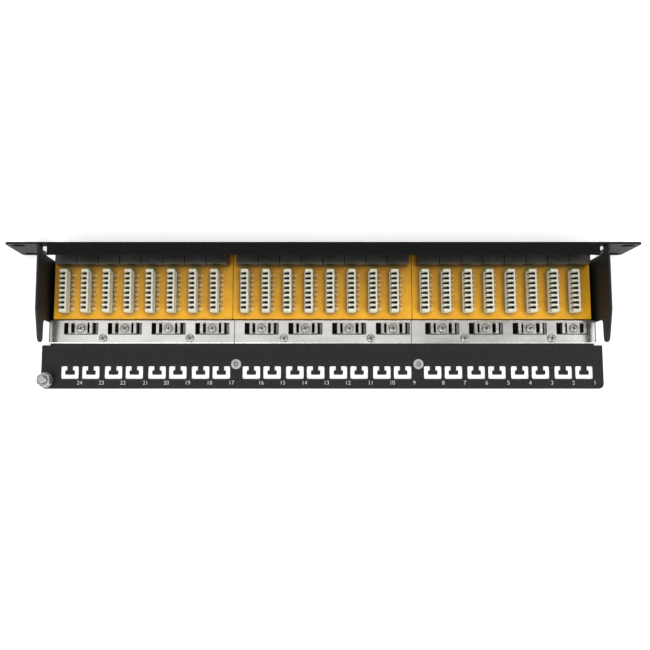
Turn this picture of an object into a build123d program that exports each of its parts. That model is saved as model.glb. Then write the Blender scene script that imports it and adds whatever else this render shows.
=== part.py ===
from build123d import *
import os

os.makedirs("parts", exist_ok=True)

# ---------------------------------------------------------------------------
# 24-port shielded 8P8C patch panel, 1U, 19 inch rack width.
# Millimetres, +Z up, front face looks along -Y, cable tray at +Y.
# Origin: centre of the four rack slots, on the front face of the panel sheet.
# Port 1 is at the -X end and port 24 at the +X end.
# ---------------------------------------------------------------------------

# front panel sheet
PANEL_W = 482.6
PANEL_H = 44.0
SHEET = 1.5
ZB = -PANEL_H / 2
SLOT_DX, SLOT_DZ = 465.1, 31.75
SLOT_L, SLOT_W = 10.3, 6.8
FLANGE_W, FLANGE_D = 418.0, 9.8
RELIEF_IN, RELIEF_OUT, RELIEF_H = 210.0, 221.0, 34.0
OPEN_W, OPEN_H = 13.1, 12.1

# chassis sheet
BODY_W = 432.6
TRAY_W = 446.0
LIP_W = 416.0
NOTCH_Y = 6.7
STEP_Y = 74.8
REAR_Y = 109.2
TRAY_TOP = ZB + SHEET

# boards and what stands on them
BOARD_PITCH = 141.0
BOARD_W = 140.6
BOARD_T = 1.6
BOARD_Y0, BOARD_Y1 = 2.0, 55.0
BT = ZB + 12.0
PORT_P = 16.75
JACK_W, JACK_H = 16.2, 13.6
JACK_Y0, JACK_Y1 = 1.6, 13.0
NOSE_W, NOSE_H, NOSE_Y = 12.9, 11.9, -1.5
NOSE_Z = BT + 6.8
FOIL = 0.3
CAV_FLOOR = BT + 2.2
IDC_DX, IDC_W, IDC_H = 2.4, 7.0, 10.5
IDC_Y0, IDC_Y1 = 16.8, 50.3
IDC_P = 3.81

# shield covers, ground rails, cable clamps
COVER_TOP = ZB + 13.0
COVER_T = 0.8
COVER_Y0, COVER_Y1 = 55.8, 74.3
RAIL_TOP = COVER_TOP - COVER_T
RAIL_T = 1.8
RAIL_Y0, RAIL_Y1 = 56.8, 73.3
WIN_W, WIN_Y0, WIN_Y1 = 26.7, 57.9, 67.3
CLAMP_P = 34.3
CLAMP_Y = 62.3
FIX_Y, FIX_DX = 70.1, 34.0
SCREW_R = 1.5

# tray
TIE_W, TIE_Y0, TIE_Y1 = 13.9, 91.4, 101.4
RIVET_Y = 89.7
STUD_X, STUD_Y, STUD_R = 218.0, 102.6, 3.0
NUT_AF, NUT_H = 10.0, 5.0

S = ["a", "b", "c"]                                    # ports 24-17, 16-9, 8-1
board_x = [BOARD_PITCH, 0.0, -BOARD_PITCH]
clamp_group = [137.9, -3.7, -145.3]
port_x = [[c + (3.5 - k) * PORT_P for k in range(8)] for c in board_x]
clamp_x = [g + (1.5 - k) * CLAMP_P for g in clamp_group for k in range(4)]
fix_x = [g + s * FIX_DX for g in clamp_group for s in (1, -1)]
tie_x = [200.3 - 144.0 * g - 34.55 * p - 16.5 * k for g in range(3) for p in range(4) for k in range(2)]
rivet_x = [68.4, -76.2]
cover_ends = [(213.5, 69.2), (68.8, -69.4), (-69.8, -213.5)]

# ------------------------------------------------------------------ sheets
with BuildPart() as front_panel:
    with BuildSketch(Plane.XZ):
        RectangleRounded(PANEL_W, PANEL_H, 3.0)
        with Locations(*[(s * (RELIEF_IN + RELIEF_OUT) / 2, ZB + RELIEF_H / 2 - 2) for s in (1, -1)]):
            RectangleRounded(RELIEF_OUT - RELIEF_IN, RELIEF_H + 4, 1.2, mode=Mode.SUBTRACT)
        with GridLocations(SLOT_DX, SLOT_DZ, 2, 2):
            SlotOverall(SLOT_L, SLOT_W, mode=Mode.SUBTRACT)
        with Locations(*[(x, NOSE_Z) for row in port_x for x in row]):
            Rectangle(OPEN_W, OPEN_H, mode=Mode.SUBTRACT)
    extrude(amount=-SHEET)
    with BuildSketch(Plane.XY.offset(-ZB - SHEET)):
        with Locations((0, FLANGE_D / 2)):
            Rectangle(FLANGE_W, FLANGE_D)
    extrude(amount=SHEET)
    fillet(front_panel.edges().filter_by(Axis.Z).filter_by_position(Axis.Y, FLANGE_D - 0.01, FLANGE_D + 0.01), 1.5)
front_panel.part.label = "front_panel"
export_step(front_panel.part, "parts/front_panel.step")

with BuildPart() as chassis:
    with BuildSketch(Plane.XY.offset(ZB)):
        with Locations((0, (NOTCH_Y + STEP_Y) / 2)):
            Rectangle(BODY_W, STEP_Y - NOTCH_Y)
        with Locations((0, (SHEET + NOTCH_Y) / 2)):
            Rectangle(LIP_W, NOTCH_Y - SHEET)
        with Locations((0, (STEP_Y + REAR_Y) / 2)):
            Rectangle(TRAY_W, REAR_Y - STEP_Y)
        with Locations(*[(x, (TIE_Y0 + TIE_Y1) / 2) for x in tie_x]):
            RectangleRounded(TIE_W, TIE_Y1 - TIE_Y0, 1.0, mode=Mode.SUBTRACT)
        # T-shaped tongue left standing in every tie slot
        with Locations(*[(x, TIE_Y0 + 1.75) for x in tie_x]):
            Rectangle(4.2, 3.7)
        with Locations(*[(x, TIE_Y0 + 5.0) for x in tie_x]):
            RectangleRounded(7.4, 3.4, 0.6)
        with Locations(*[(x, RIVET_Y) for x in rivet_x]):
            Circle(2.0, mode=Mode.SUBTRACT)
        with Locations((STUD_X, STUD_Y)):
            Circle(STUD_R, mode=Mode.SUBTRACT)
    extrude(amount=SHEET)
    fillet(chassis.edges().filter_by(Axis.Z).filter_by_position(Axis.Y, REAR_Y - 0.01, REAR_Y + 0.01), 4.0)
    # side plates: square front edge, open lower corner, tapered rear tongue
    for x0 in (BODY_W / 2 - SHEET, -BODY_W / 2):
        with BuildSketch(Plane.YZ.offset(x0)):
            with BuildLine():
                Polyline((NOTCH_Y, ZB), (NOTCH_Y, ZB + 34.0), (SHEET, ZB + 34.0), (SHEET, -ZB),
                         (51.3, -ZB), (72.4, ZB + 37.4))
                ThreePointArc((72.4, ZB + 37.4), (75.0, ZB + 32.4), (72.2, ZB + 27.6))
                Line((72.2, ZB + 27.6), (60.6, ZB + 27.0))
                ThreePointArc((60.6, ZB + 27.0), (58.0, ZB + 25.9), (57.0, ZB + 23.4))
                Polyline((57.0, ZB + 23.4), (57.0, ZB), (NOTCH_Y, ZB))
            make_face()
        extrude(amount=SHEET)
    # front lip spot welded to the panel; the boards stand on its upper edge
    with BuildSketch(Plane.XY.offset(ZB)):
        with Locations((0, SHEET * 1.5)):
            Rectangle(LIP_W, SHEET)
        # formed rests under the rear board edges
        with Locations(*[(c + s * 45.0, 52.5) for c in board_x for s in (1, -1)]):
            Rectangle(14.0, 3.0)
    extrude(amount=BT - BOARD_T - ZB)
chassis.part.label = "chassis"
export_step(chassis.part, "parts/chassis.step")

# ------------------------------------------------------------------ boards
for s, cx, row in zip(S, board_x, port_x):
    with BuildPart() as board:
        with BuildSketch(Plane.XY.offset(BT - BOARD_T)):
            with Locations((cx, (BOARD_Y0 + BOARD_Y1) / 2)):
                RectangleRounded(BOARD_W, BOARD_Y1 - BOARD_Y0, 0.5)
        extrude(amount=BOARD_T)
    board.part.label = "circuit_board_" + s
    export_step(board.part, "parts/circuit_board_" + s + ".step")

    # folded jack shields: body behind the panel, nose through the opening
    with BuildPart() as shields:
        with BuildSketch(Plane.XZ.offset(-JACK_Y0)):
            with Locations(*[(x, BT + JACK_H / 2) for x in row]):
                Rectangle(JACK_W, JACK_H)
        extrude(amount=-(JACK_Y1 - JACK_Y0))
        with BuildSketch(Plane.XZ.offset(-NOSE_Y)):
            with Locations(*[(x, NOSE_Z) for x in row]):
                Rectangle(NOSE_W, NOSE_H)
        extrude(amount=-(JACK_Y0 - NOSE_Y))
        with BuildSketch(Plane.XZ.offset(-(JACK_Y0 + FOIL))):
            with Locations(*[(x, BT + (JACK_H - FOIL) / 2) for x in row]):
                Rectangle(JACK_W - 2 * FOIL, JACK_H - FOIL)
        extrude(amount=-(JACK_Y1 - JACK_Y0 - 2 * FOIL), mode=Mode.SUBTRACT)
        with BuildSketch(Plane.XZ.offset(-NOSE_Y)):
            with Locations(*[(x, NOSE_Z) for x in row]):
                Rectangle(NOSE_W - 2 * FOIL, NOSE_H - 2 * FOIL)
        extrude(amount=-(JACK_Y0 + FOIL - NOSE_Y), mode=Mode.SUBTRACT)
    shields.part.label = "jack_shields_" + s
    export_step(shields.part, "parts/jack_shields_" + s + ".step")

    # moulded housings with plug cavity and two-step latch channel
    with BuildPart() as housings:
        with BuildSketch(Plane.XZ.offset(-(JACK_Y0 + FOIL))):
            with Locations(*[(x, BT + (JACK_H - FOIL) / 2) for x in row]):
                Rectangle(JACK_W - 2 * FOIL, JACK_H - FOIL)
        extrude(amount=-(JACK_Y1 - JACK_Y0 - 2 * FOIL))
        with BuildSketch(Plane.XZ.offset(-NOSE_Y)):
            with Locations(*[(x, NOSE_Z) for x in row]):
                Rectangle(NOSE_W - 2 * FOIL, NOSE_H - 2 * FOIL)
        extrude(amount=-(JACK_Y0 + FOIL - NOSE_Y))
        with BuildSketch(Plane.XZ.offset(-NOSE_Y)):
            with Locations(*[(x, CAV_FLOOR + 3.45) for x in row]):
                Rectangle(11.8, 6.9)
            with Locations(*[(x, CAV_FLOOR + 7.5) for x in row]):
                Rectangle(6.2, 1.6)
            with Locations(*[(x, CAV_FLOOR + 8.8) for x in row]):
                Rectangle(3.3, 1.4)
        extrude(amount=-12.2, mode=Mode.SUBTRACT)
    housings.part.label = "jack_housings_" + s
    export_step(housings.part, "parts/jack_housings_" + s + ".step")

    # folded-back spring contacts lying on the cavity floor
    with BuildPart() as contacts:
        with BuildSketch(Plane.YZ.offset(-0.2)):
            with BuildLine():
                Polyline((0.2, CAV_FLOOR), (10.2, CAV_FLOOR), (10.2, CAV_FLOOR + 0.3), (1.4, CAV_FLOOR + 0.3),
                         (8.4, CAV_FLOOR + 2.1), (8.3, CAV_FLOOR + 2.4), (0.2, CAV_FLOOR + 0.3), (0.2, CAV_FLOOR))
            make_face()
        spring = extrude(amount=0.4, mode=Mode.PRIVATE)
        with Locations(*[(x + (3.5 - j) * 1.02, 0, 0) for x in row for j in range(8)]):
            add(spring)
    contacts.part.label = "jack_contacts_" + s
    export_step(contacts.part, "parts/jack_contacts_" + s + ".step")

    # wire blocks: stepped bar with eight V mouths, open on the +X side, and a blade pocket in each
    with BuildPart() as blocks:
        with BuildSketch(Plane.XZ.offset(-IDC_Y0)):
            with BuildLine():
                Polyline((-3.5, BT), (3.5, BT), (3.5, BT + 4.2), (2.9, BT + 4.8), (2.8, BT + IDC_H),
                         (-2.8, BT + IDC_H), (-2.9, BT + 4.8), (-3.5, BT + 4.2), (-3.5, BT))
            make_face()
        bar = extrude(amount=-(IDC_Y1 - IDC_Y0), mode=Mode.PRIVATE)
        with BuildSketch(Plane.YZ.offset(-1.6)):
            for j in range(8):
                yc = (IDC_Y0 + IDC_Y1) / 2 + (3.5 - j) * IDC_P
                with BuildLine():
                    Polyline((yc - 0.5, BT + 4.5), (yc + 0.5, BT + 4.5), (yc + 0.6, BT + 9.0),
                             (yc + 1.2, BT + IDC_H), (yc - 1.2, BT + IDC_H), (yc - 0.6, BT + 9.0),
                             (yc - 0.5, BT + 4.5))
                make_face()
        mouths = extrude(amount=6.0, mode=Mode.PRIVATE)
        with BuildSketch(Plane.XY.offset(BT)):
            with Locations((0, (IDC_Y0 + IDC_Y1) / 2)):
                RectangleRounded(IDC_W, IDC_Y1 - IDC_Y0, 1.5)
        outline = extrude(amount=IDC_H, mode=Mode.PRIVATE)
        with BuildSketch(Plane.XY.offset(BT + 1.0)):
            with Locations(*[(0, (IDC_Y0 + IDC_Y1) / 2 + (3.5 - j) * IDC_P) for j in range(8)]):
                Rectangle(0.5, 2.4)
        pockets = extrude(amount=IDC_H, mode=Mode.PRIVATE)
        body = (bar & outline) - mouths - pockets
        with Locations(*[(x + IDC_DX, 0, 0) for x in row]):
            add(body)
    blocks.part.label = "idc_blocks_" + s
    export_step(blocks.part, "parts/idc_blocks_" + s + ".step")

    with BuildPart() as blades:
        with BuildSketch(Plane.XY.offset(BT + 1.0)):
            with Locations(*[(x + IDC_DX, (IDC_Y0 + IDC_Y1) / 2 + (3.5 - j) * IDC_P)
                             for x in row for j in range(8)]):
                Rectangle(0.5, 2.4)
        extrude(amount=7.6)
    blades.part.label = "idc_contacts_" + s
    export_step(blades.part, "parts/idc_contacts_" + s + ".step")

# ------------------------------------------------------------------ covers and rails
for i, (s, (xa, xb)) in enumerate(zip(S, cover_ends)):
    cxs = clamp_x[4 * i:4 * i + 4]
    fxs = fix_x[2 * i:2 * i + 2]
    xm, xl = (xa + xb) / 2, xa - xb
    # the outer rails run on to the side plates
    ra = xa + 1.1 if i == 0 else xa - 0.5
    rb = xb - 1.1 if i == 2 else xb + 0.5
    with BuildPart() as cover:
        with BuildSketch(Plane.XY.offset(TRAY_TOP)):
            with Locations((xm, (COVER_Y0 + COVER_Y1) / 2)):
                Rectangle(xl, COVER_Y1 - COVER_Y0)
        extrude(amount=COVER_TOP - TRAY_TOP)
        fillet(cover.edges().filter_by(Axis.X).group_by(Axis.Z)[-1], 0.7)
        with BuildSketch(Plane.XY.offset(TRAY_TOP)):
            with Locations((xm, (COVER_Y0 + COVER_Y1) / 2)):
                Rectangle(xl + 2, COVER_Y1 - COVER_Y0 - 2 * COVER_T)
        extrude(amount=COVER_TOP - COVER_T - TRAY_TOP, mode=Mode.SUBTRACT)
        with BuildSketch(Plane.XY.offset(COVER_TOP - COVER_T)):
            with Locations(*[(x, (WIN_Y0 + WIN_Y1) / 2) for x in cxs]):
                RectangleRounded(WIN_W, WIN_Y1 - WIN_Y0, 0.8)
            with Locations(*[(x, FIX_Y) for x in fxs]):
                Circle(SCREW_R + 0.2)
        extrude(amount=COVER_T + 1, mode=Mode.SUBTRACT)
    cover.part.label = "shield_cover_" + s
    export_step(cover.part, "parts/shield_cover_" + s + ".step")

    # inverted channel under the cover, threaded for the clamp and cover screws
    with BuildPart() as rail:
        with BuildSketch(Plane.XY.offset(TRAY_TOP)):
            with Locations(((ra + rb) / 2, (RAIL_Y0 + RAIL_Y1) / 2)):
                Rectangle(ra - rb, RAIL_Y1 - RAIL_Y0)
        extrude(amount=RAIL_TOP - TRAY_TOP)
        with BuildSketch(Plane.XY.offset(TRAY_TOP)):
            with Locations((xm, (RAIL_Y0 + RAIL_Y1) / 2)):
                Rectangle(xl + 6, RAIL_Y1 - RAIL_Y0 - 2 * SHEET)
        extrude(amount=RAIL_TOP - RAIL_T - TRAY_TOP, mode=Mode.SUBTRACT)
        with BuildSketch(Plane.XY.offset(RAIL_TOP - RAIL_T)):
            with Locations(*[(x, CLAMP_Y) for x in cxs]):
                Circle(SCREW_R + 0.05)
            with Locations(*[(x, FIX_Y) for x in fxs]):
                Circle(SCREW_R)
            # wire openings beside each clamp plate; the -X side keeps a lug
            with Locations(*[(x + q * 6.6, CLAMP_Y) for x in cxs for q in (1, -1)]):
                Rectangle(3.2, 7.0)
            with Locations(*[(x + 11.45, CLAMP_Y) for x in cxs]):
                Rectangle(3.5, 8.6)
            with Locations(*[(x - 10.5, CLAMP_Y) for x in cxs]):
                Rectangle(1.6, 8.6)
        extrude(amount=RAIL_T, mode=Mode.SUBTRACT)
    rail.part.label = "ground_rail_" + s
    export_step(rail.part, "parts/ground_rail_" + s + ".step")

# ------------------------------------------------------------------ cable clamps
prof = [(-9.4, 0), (-9.4, 3.2), (-7.0, 3.2), (-5.2, 0.8), (5.2, 0.8), (7.0, 3.2), (9.4, 3.2), (9.4, 0), (8.6, 0),
        (8.6, 2.4), (7.4, 2.4), (5.6, 0), (-5.6, 0), (-7.4, 2.4), (-8.6, 2.4), (-8.6, 0), (-9.4, 0)]
for n, x in enumerate(clamp_x):
    nn = "%02d" % (n + 1)
    with BuildPart() as saddle:
        with BuildSketch(Plane.XZ.offset(-(CLAMP_Y - 4.3))):
            with BuildLine():
                Polyline(*[(x + a, RAIL_TOP + b) for a, b in prof])
            make_face()
        extrude(amount=-8.6)
        with BuildSketch(Plane.XY.offset(RAIL_TOP - 1)):
            with Locations((x, CLAMP_Y)):
                Circle(SCREW_R + 0.05)
            with Locations(*[(x + q * 6.1, CLAMP_Y) for q in (1, -1)]):
                Rectangle(2.2, 7.0)
        extrude(amount=5.5, mode=Mode.SUBTRACT)
    saddle.part.label = "clamp_saddle_" + nn
    export_step(saddle.part, "parts/clamp_saddle_" + nn + ".step")

    zh = RAIL_TOP + 0.8
    with BuildPart() as screw:
        with BuildSketch(Plane.XY.offset(zh)):
            with Locations((x, CLAMP_Y)):
                Circle(2.9)
        extrude(amount=1.9)
        fillet(screw.edges().filter_by(GeomType.CIRCLE).group_by(Axis.Z)[-1], 0.9)
        with BuildSketch(Plane.XY.offset(zh)):
            with Locations((x, CLAMP_Y)):
                Circle(SCREW_R)
        extrude(amount=-8.0)
        with BuildSketch(Plane.XY.offset(zh + 1.9)):
            with Locations(Location((x, CLAMP_Y, 0), 15 + 37 * n)):
                Rectangle(3.2, 0.7)
                Rectangle(0.7, 3.2)
        extrude(amount=-1.1, mode=Mode.SUBTRACT)
    screw.part.label = "clamp_screw_" + nn
    export_step(screw.part, "parts/clamp_screw_" + nn + ".step")

with BuildPart() as cover_screws:
    with BuildSketch(Plane.XY.offset(COVER_TOP)):
        with Locations(*[(x, FIX_Y) for x in fix_x]):
            Circle(3.0)
    extrude(amount=1.9)
    fillet(cover_screws.edges().filter_by(GeomType.CIRCLE).group_by(Axis.Z)[-1], 0.9)
    with BuildSketch(Plane.XY.offset(COVER_TOP)):
        with Locations(*[(x, FIX_Y) for x in fix_x]):
            Circle(SCREW_R)
    extrude(amount=-6.0)
    with BuildSketch(Plane.XY.offset(COVER_TOP + 1.9)):
        with Locations(*[Location((x, FIX_Y, 0), 20 + 31 * n) for n, x in enumerate(fix_x)]):
            Rectangle(3.2, 0.7)
            Rectangle(0.7, 3.2)
    extrude(amount=-1.1, mode=Mode.SUBTRACT)
cover_screws.part.label = "cover_screws"
export_step(cover_screws.part, "parts/cover_screws.step")

# ------------------------------------------------------------------ tray fittings
with BuildPart() as nylon_rivets:
    with BuildSketch(Plane.XY.offset(TRAY_TOP)):
        with Locations(*[(x, RIVET_Y) for x in rivet_x]):
            Circle(4.15)
    extrude(amount=2.2)
    fillet(nylon_rivets.edges().filter_by(GeomType.CIRCLE).group_by(Axis.Z)[-1], 1.3)
    with BuildSketch(Plane.XY.offset(ZB)):
        with Locations(*[(x, RIVET_Y) for x in rivet_x]):
            Circle(2.0)
    extrude(amount=SHEET)
    with BuildSketch(Plane.XY.offset(TRAY_TOP + 2.2)):
        with Locations(*[(x, RIVET_Y) for x in rivet_x]):
            Circle(2.0)
    extrude(amount=-1.0, mode=Mode.SUBTRACT)
nylon_rivets.part.label = "nylon_rivets"
export_step(nylon_rivets.part, "parts/nylon_rivets.step")

with BuildPart() as ground_stud:
    with BuildSketch(Plane.XY.offset(ZB)):
        with Locations((STUD_X, STUD_Y)):
            Circle(STUD_R)
    extrude(amount=15.2)
    chamfer(ground_stud.edges().filter_by(GeomType.CIRCLE).group_by(Axis.Z)[-1], 0.6)
ground_stud.part.label = "ground_stud"
export_step(ground_stud.part, "parts/ground_stud.step")

zl = TRAY_TOP
zw = zl + NUT_H
zn = zw + 1.2
for name, z, turn, gap in (("ground_nut_lower", zl, 30, 0.0), ("ground_nut_top", zn, 30, 0.05)):
    with BuildPart() as nut:
        with BuildSketch(Plane.XY.offset(z)):
            with Locations(Location((STUD_X, STUD_Y, 0), turn)):
                RegularPolygon(NUT_AF / 2, 6, major_radius=False)
        extrude(amount=NUT_H)
        with BuildSketch(Plane.XY.offset(z)):
            with Locations((STUD_X, STUD_Y)):
                Circle(NUT_AF / 2 + 0.55)
        extrude(amount=NUT_H, mode=Mode.INTERSECT)
        with BuildSketch(Plane.XY.offset(z)):
            with Locations((STUD_X, STUD_Y)):
                Circle(STUD_R + gap)
        extrude(amount=NUT_H, mode=Mode.SUBTRACT)
    nut.part.label = name
    export_step(nut.part, "parts/" + name + ".step")

with BuildPart() as ground_washer:
    with BuildSketch(Plane.XY.offset(zw)):
        with Locations((STUD_X, STUD_Y)):
            Circle(6.0)
            Circle(STUD_R + 0.2, mode=Mode.SUBTRACT)
    extrude(amount=1.2)
ground_washer.part.label = "ground_washer"
export_step(ground_washer.part, "parts/ground_washer.step")
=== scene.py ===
import bpy
import math
from mathutils import Matrix, Vector


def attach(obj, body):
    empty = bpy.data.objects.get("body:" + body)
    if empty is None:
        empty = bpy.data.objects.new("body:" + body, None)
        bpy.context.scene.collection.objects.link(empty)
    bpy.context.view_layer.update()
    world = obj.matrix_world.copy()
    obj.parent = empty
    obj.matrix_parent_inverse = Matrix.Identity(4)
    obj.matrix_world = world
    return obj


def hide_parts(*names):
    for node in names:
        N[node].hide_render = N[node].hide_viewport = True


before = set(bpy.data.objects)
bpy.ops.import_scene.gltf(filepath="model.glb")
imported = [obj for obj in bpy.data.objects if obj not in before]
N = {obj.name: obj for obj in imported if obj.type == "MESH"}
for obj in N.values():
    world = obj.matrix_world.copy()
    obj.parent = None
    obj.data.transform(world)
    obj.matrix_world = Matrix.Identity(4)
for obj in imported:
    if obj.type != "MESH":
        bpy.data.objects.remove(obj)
MM = 0.001
ZB = -22.0
TT = ZB + 1.5          # tray top
BT = ZB + 12.0         # board top


# ------------------------------------------------------------------ materials
def material(name, a, b, rough=0.5, metal=0.0, scale=300.0, bump=0.1, fine=2600.0, edge_sheen_and_wear=None, edge_r=0.00025,
             rough_var=0.12, stretch=(1, 1, 1), spec=0.5, coat=0.0, shade_gradient=None, recess_shade=0.0, glow=0.0):
    m = bpy.data.materials.new(name)
    m.use_nodes = True
    nt = m.node_tree
    nt.nodes.clear()
    new = nt.nodes.new
    link = nt.links.new
    out = new("ShaderNodeOutputMaterial")
    bs = new("ShaderNodeBsdfPrincipled")
    link(bs.outputs[0], out.inputs[0])
    tc = new("ShaderNodeTexCoord")
    mp = new("ShaderNodeMapping")
    mp.inputs["Scale"].default_value = stretch
    link(tc.outputs["Object"], mp.inputs["Vector"])
    n1 = new("ShaderNodeTexNoise")
    n1.inputs["Scale"].default_value = scale
    n1.inputs["Detail"].default_value = 6
    link(mp.outputs[0], n1.inputs["Vector"])
    n2 = new("ShaderNodeTexNoise")
    n2.inputs["Scale"].default_value = fine
    n2.inputs["Detail"].default_value = 3
    link(mp.outputs[0], n2.inputs["Vector"])
    ramp = new("ShaderNodeValToRGB")
    ramp.color_ramp.elements[0].position = 0.32
    ramp.color_ramp.elements[1].position = 0.68
    ramp.color_ramp.elements[0].color = (*a, 1)
    ramp.color_ramp.elements[1].color = (*b, 1)
    link(n1.outputs["Fac"], ramp.inputs[0])
    col = ramp.outputs[0]
    if shade_gradient:
        # painted shade: colour scaled down slowly along one axis: (axis index, start, end, factor at the end)
        sep = new("ShaderNodeSeparateXYZ")
        link(tc.outputs["Object"], sep.inputs[0])
        mr = new("ShaderNodeMapRange")
        mr.inputs["From Min"].default_value = shade_gradient[1]
        mr.inputs["From Max"].default_value = shade_gradient[2]
        mr.inputs["To Min"].default_value = 1.0
        mr.inputs["To Max"].default_value = shade_gradient[3]
        link(sep.outputs[shade_gradient[0]], mr.inputs["Value"])
        mul = new("ShaderNodeVectorMath")
        mul.operation = "SCALE"
        link(col, mul.inputs[0])
        link(mr.outputs[0], mul.inputs["Scale"])
        col = mul.outputs[0]
    bev = new("ShaderNodeBevel")
    bev.samples = 4
    bev.inputs["Radius"].default_value = edge_r
    # painted highlight and wear: a paler colour mixed in, in noisy patches, along bevelled edges
    if edge_sheen_and_wear:
        geo = new("ShaderNodeNewGeometry")
        dot = new("ShaderNodeVectorMath")
        dot.operation = "DOT_PRODUCT"
        link(bev.outputs[0], dot.inputs[0])
        link(geo.outputs["Normal"], dot.inputs[1])
        er = new("ShaderNodeMapRange")
        er.inputs["From Min"].default_value = 0.985
        er.inputs["From Max"].default_value = 0.80
        link(dot.outputs["Value"], er.inputs["Value"])
        em = new("ShaderNodeMath")
        em.operation = "MULTIPLY"
        link(er.outputs[0], em.inputs[0])
        link(n1.outputs["Fac"], em.inputs[1])
        mix = new("ShaderNodeMixRGB")
        mix.inputs[2].default_value = (*edge_sheen_and_wear, 1)
        link(em.outputs[0], mix.inputs[0])
        link(col, mix.inputs[1])
        col = mix.outputs[0]
    if recess_shade:
        # painted shade: base colour darkened in narrow recesses by ambient occlusion
        an = new("ShaderNodeAmbientOcclusion")
        an.samples = 6
        an.only_local = False
        an.inputs["Distance"].default_value = recess_shade
        pw = new("ShaderNodeMath")
        pw.operation = "POWER"
        pw.inputs[1].default_value = 1.6
        link(an.outputs["AO"], pw.inputs[0])
        dm = new("ShaderNodeVectorMath")
        dm.operation = "SCALE"
        link(col, dm.inputs[0])
        link(pw.outputs[0], dm.inputs["Scale"])
        col = dm.outputs[0]
    if glow:
        link(col, bs.inputs["Emission Color"])
        bs.inputs["Emission Strength"].default_value = glow
    link(col, bs.inputs["Base Color"])
    rr = new("ShaderNodeMapRange")
    rr.inputs["To Min"].default_value = max(0.03, rough - rough_var)
    rr.inputs["To Max"].default_value = min(1.0, rough + rough_var)
    link(n1.outputs["Fac"], rr.inputs["Value"])
    link(rr.outputs[0], bs.inputs["Roughness"])
    bp = new("ShaderNodeBump")
    bp.inputs["Strength"].default_value = bump
    bp.inputs["Distance"].default_value = 0.0001
    link(n2.outputs["Fac"], bp.inputs["Height"])
    link(bev.outputs[0], bp.inputs["Normal"])
    link(bp.outputs[0], bs.inputs["Normal"])
    bs.inputs["Metallic"].default_value = metal
    bs.inputs["Specular IOR Level"].default_value = spec
    bs.inputs["Coat Weight"].default_value = coat
    return m


M = {
    "front_panel": material("panel_paint", (.0014, .0014, .0015), (.0028, .0028, .0029), .5, bump=.35, spec=.12,
                            edge_sheen_and_wear=(.012, .012, .012)),
    "chassis": material("chassis_paint", (.005, .005, .0052), (.013, .013, .0135), .5, scale=900, bump=.9, spec=.24,
                        edge_sheen_and_wear=(.05, .05, .05)),
    # board colour darkened towards the front panel, under the flange: painted shade
    "circuit_board": material("board_mask", (.66, .31, .004), (.76, .38, .006), .4, scale=160, bump=.15,
                              shade_gradient=(1, .035, .002, .5), recess_shade=.004),
    "jack_shields": material("jack_tin", (.085, .082, .08), (.115, .112, .11), .34, 1.0, scale=55, bump=.05,
                             edge_sheen_and_wear=(.45, .43, .38), rough_var=.05, recess_shade=.0008),
    "jack_housings": material("jack_black", (.010, .010, .010), (.018, .018, .018), .45, bump=.1),
    "jack_contacts": material("contact_gold", (.72, .48, .14), (.85, .60, .22), .25, 1.0, bump=.05),
    "idc_blocks": material("idc_cream", (.56, .54, .42), (.68, .66, .54), .46, scale=260, bump=.12, spec=.3, recess_shade=.0025),
    "idc_contacts": material("idc_tin", (.05, .05, .05), (.12, .12, .11), .35, 1.0, bump=.1, recess_shade=.002),
    "shield_cover": material("cover_tin", (.62, .61, .58), (.84, .83, .80), .17, 1.0, scale=70, bump=.16,
                             edge_sheen_and_wear=(.95, .95, .93), stretch=(.3, 1, 1), rough_var=.09, recess_shade=.0008),
    "ground_rail": material("rail_tin", (.18, .18, .17), (.30, .29, .28), .3, 1.0, scale=120, bump=.12, recess_shade=.003),
    "clamp_saddle": material("saddle_tin", (.46, .45, .42), (.74, .72, .68), .24, 1.0, scale=240, bump=.16,
                             edge_sheen_and_wear=(.9, .9, .86), recess_shade=.002),
    "clamp_screw": material("screw_zinc", (.34, .33, .31), (.56, .55, .51), .26, 1.0, scale=500, bump=.1,
                            edge_sheen_and_wear=(.9, .9, .86), recess_shade=.0022),
    "nylon_rivets": material("nylon_grey", (.30, .31, .31), (.42, .43, .43), .42, bump=.1, recess_shade=.0022),
    "ground": material("ground_zinc", (.40, .41, .43), (.52, .53, .55), .16, 1.0, scale=90, bump=.04,
                       edge_sheen_and_wear=(.95, .95, .92), recess_shade=.0035),
}
M["cover_screws"] = M["clamp_screw"]
for k in ("ground_stud", "ground_nut", "ground_washer"):
    M[k] = M["ground"]
INK = material("number_ink", (.42, .42, .41), (.58, .58, .56), .55, bump=.2, scale=900)
SILK = material("silk_ink", (.78, .70, .42), (.92, .86, .58), .6, bump=.2, scale=900)
PAD = material("pad_solder", (.10, .16, .03), (.22, .28, .06), .35, .3, scale=700, bump=.25)

for name, o in N.items():
    key = max((k for k in M if name.startswith(k)), key=len)
    o.data.materials.clear()
    o.data.materials.append(M[key])
    for p in o.data.polygons:
        p.material_index = 0


# ------------------------------------------------------------------ helpers
def mesh_obj(name, verts, faces, mat, body="frame", smooth=False):
    me = bpy.data.meshes.new(name)
    me.from_pydata([Vector(v) * MM for v in verts], [], faces)
    me.validate()
    me.update()
    if smooth:
        for p in me.polygons:
            p.use_smooth = True
    o = bpy.data.objects.new(name, me)
    bpy.context.scene.collection.objects.link(o)
    me.materials.append(mat)
    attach(o, body)
    return o


GLYPH = {}


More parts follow.
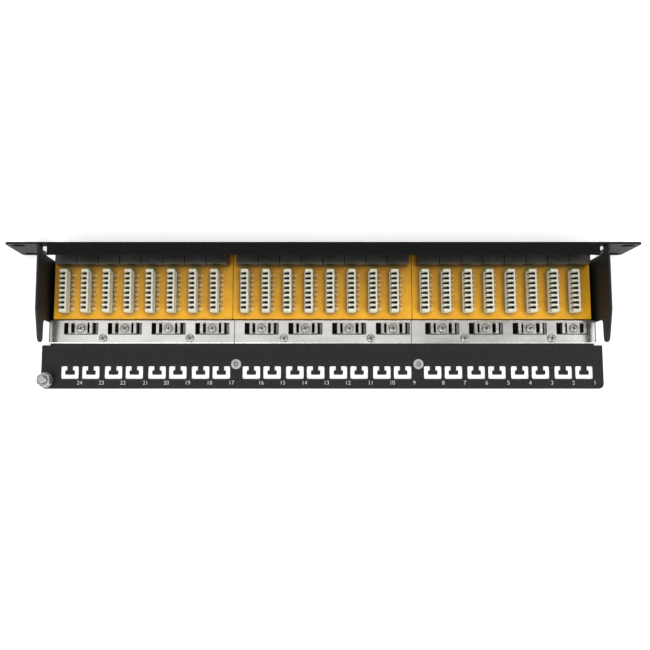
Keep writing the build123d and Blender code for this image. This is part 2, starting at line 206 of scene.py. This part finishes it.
def glyph(text, size):
    key = (text, size)
    if key not in GLYPH:
        cu = bpy.data.curves.new("glyph", "FONT")
        cu.body = text
        cu.size = size
        cu.align_x = "CENTER"
        cu.align_y = "CENTER"
        cu.extrude = 0.02
        ob = bpy.data.objects.new("glyph_tmp", cu)
        bpy.context.scene.collection.objects.link(ob)
        bpy.context.view_layer.update()
        me = bpy.data.meshes.new_from_object(ob.evaluated_get(bpy.context.evaluated_depsgraph_get()))
        vs = [tuple(v.co) for v in me.vertices]
        # centre on the drawn outline
        xs = [v[0] for v in vs]
        ys = [v[1] for v in vs]
        ox, oy = (min(xs) + max(xs)) / 2, (min(ys) + max(ys)) / 2
        GLYPH[key] = ([(v[0] - ox, v[1] - oy, v[2]) for v in vs], [tuple(p.vertices) for p in me.polygons])
        bpy.data.objects.remove(ob)
        bpy.data.curves.remove(cu)
        bpy.data.meshes.remove(me)
    return GLYPH[key]


def lettering(name, items, mat):
    # items: (text, size, x, y, z, turn in degrees)
    verts, faces = [], []
    for text, size, x, y, z, turn in items:
        vs, fs = glyph(text, size)
        c, s = math.cos(math.radians(turn)), math.sin(math.radians(turn))
        k = len(verts)
        verts += [(x + c * a - s * b, y + s * a + c * b, z + h) for a, b, h in vs]
        faces += [tuple(i + k for i in f) for f in fs]
    return mesh_obj(name, verts, faces, mat)


def discs(name, pts, mat, n=14):
    # low domes: (x, y, z, rx, ry, height)
    verts, faces = [], []
    for x, y, z, rx, ry, h in pts:
        k = len(verts)
        for q, hz in ((1.0, 0.0), (0.82, h * .8), (0.4, h)):
            verts += [(x + rx * q * math.cos(6.28318 * i / n), y + ry * q * math.sin(6.28318 * i / n), z + hz)
                      for i in range(n)]
        for r in range(2):
            faces += [(k + r * n + i, k + r * n + (i + 1) % n, k + (r + 1) * n + (i + 1) % n, k + (r + 1) * n + i)
                      for i in range(n)]
        faces.append(tuple(k + 2 * n + i for i in range(n)))
    return mesh_obj(name, verts, faces, mat)


# ------------------------------------------------------------------ printed numbers
board_x = [141.0, 0.0, -141.0]
number_x = [192.3, 175.1, 158.0, 140.5, 123.6, 106.4, 89.0, 71.6, 48.2, 31.1, 13.7, -3.6,
            -20.7, -38.4, -55.8, -72.9, -95.9, -113.1, -130.3, -147.5, -164.8, -182.1, -199.1, -216.1]
lettering("tray_numbers", [(str(24 - i), 4.5, x, 104.4, TT + .03, 180)
                           for i, x in enumerate(number_x)], INK)

for s, cx in zip("abc", board_x):
    items, pads = [], []
    for k in range(8):
        x = cx + (3.5 - k) * 16.75
        bx = x + 2.4
        # pair digits beside every wire block, front to back
        for j, t in enumerate("21634578"):
            items.append((t, 4.7, bx - 5.3, 33.55 + (j - 3.5) * 3.81, BT + .03, 270))
        pads.append((bx, 15.0, BT, 2.6, 1.3, .06))
    lettering("board_digits_" + s, items, SILK)
    discs("board_pads_" + s, pads, PAD)

# threaded stud in place of the plain one
SX, SY = 218.0, 102.6
verts, faces = [], []
seg, pitch, z0, z1 = 40, 1.0, ZB, ZB + 15.2
rows = int((z1 - z0) * 8)
for r in range(rows + 1):
    z = z0 + (z1 - z0) * r / rows
    for i in range(seg):
        ph = ((z - z0) / pitch - i / seg) % 1.0
        rad = 2.42 + .58 * abs(2 * ph - 1)
        rad = min(rad, 3.0 - max(0, z - (z1 - .7)))
        verts.append((SX + rad * math.cos(6.28318 * i / seg), SY + rad * math.sin(6.28318 * i / seg), z))
for r in range(rows):
    for i in range(seg):
        faces.append((r * seg + i, r * seg + (i + 1) % seg, (r + 1) * seg + (i + 1) % seg, (r + 1) * seg + i))
faces.append(tuple(range(seg - 1, -1, -1)))
faces.append(tuple(rows * seg + i for i in range(seg)))
stud = mesh_obj("ground_stud_threaded", verts, faces, M["ground"])
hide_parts("ground_stud")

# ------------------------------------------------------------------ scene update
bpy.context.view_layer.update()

# ------------------------------------------------------------------ stage
fm = material("floor_white", (.86, .86, .86), (.90, .90, .90), .8, scale=8, bump=.02, edge_r=.0001, glow=.35)
me = bpy.data.meshes.new("floor")
me.from_pydata([(-6, -6, -.0222), (6, -6, -.0222), (6, 6, -.0222), (-6, 6, -.0222)], [], [(0, 1, 2, 3)])
floor = bpy.data.objects.new("floor", me)
me.materials.append(fm)
bpy.context.scene.collection.objects.link(floor)

w = bpy.data.worlds.new("studio")
bpy.context.scene.world = w
w.use_nodes = True
wn = w.node_tree
bg = wn.nodes["Background"]
bg.inputs[0].default_value = (1, 1, 1, 1)
# soft boxes and gaps overhead, so that bright metal has something to reflect
wc = wn.nodes.new("ShaderNodeTexCoord")
wt = wn.nodes.new("ShaderNodeTexNoise")
wt.inputs["Scale"].default_value = 5.5
wt.inputs["Detail"].default_value = 1
wn.links.new(wc.outputs["Generated"], wt.inputs["Vector"])
wr = wn.nodes.new("ShaderNodeMapRange")
wr.inputs["From Min"].default_value = .42
wr.inputs["From Max"].default_value = .60
wr.inputs["To Min"].default_value = .28
wr.inputs["To Max"].default_value = 1.15
wn.links.new(wt.outputs["Fac"], wr.inputs["Value"])
wl = wn.nodes.new("ShaderNodeLightPath")
wm = wn.nodes.new("ShaderNodeMix")
wm.data_type = "FLOAT"
wn.links.new(wl.outputs["Is Camera Ray"], wm.inputs[0])
wn.links.new(wr.outputs[0], wm.inputs[2])
wm.inputs[3].default_value = .95
wn.links.new(wm.outputs[0], bg.inputs[1])


def area(name, loc, target, size, power):
    li = bpy.data.lights.new(name, "AREA")
    li.shape = "RECTANGLE"
    li.size, li.size_y = size
    li.energy = power
    o = bpy.data.objects.new(name, li)
    o.location = loc
    o.rotation_euler = (Vector(target) - Vector(loc)).to_track_quat("-Z", "Y").to_euler()
    bpy.context.scene.collection.objects.link(o)


area("key", (.5, .9, 1.4), (0, .05, 0), (1.4, 1.0), 16)
area("fill", (-.9, .5, 1.0), (0, .05, 0), (1.0, 1.0), 7)
area("front", (0, -1.2, 1.0), (0, 0, 0), (1.6, .6), 6)

cd = bpy.data.cameras.new("camera")
cam = bpy.data.objects.new("camera", cd)
cd.sensor_width = 36
cd.lens = 46.25
cd.shift_x = .0426
cd.clip_start = .01
right, up, back = Vector((-1, 0, 0)), Vector((0, -.99357, .1132)), Vector((0, .1132, .99357))
m = Matrix((right, up, back)).transposed().to_4x4()
m.translation = Vector((.0198, .1339, .642))
cam.matrix_world = m
bpy.context.scene.collection.objects.link(cam)
bpy.context.scene.camera = cam
bpy.context.scene.view_settings.view_transform = "Standard"
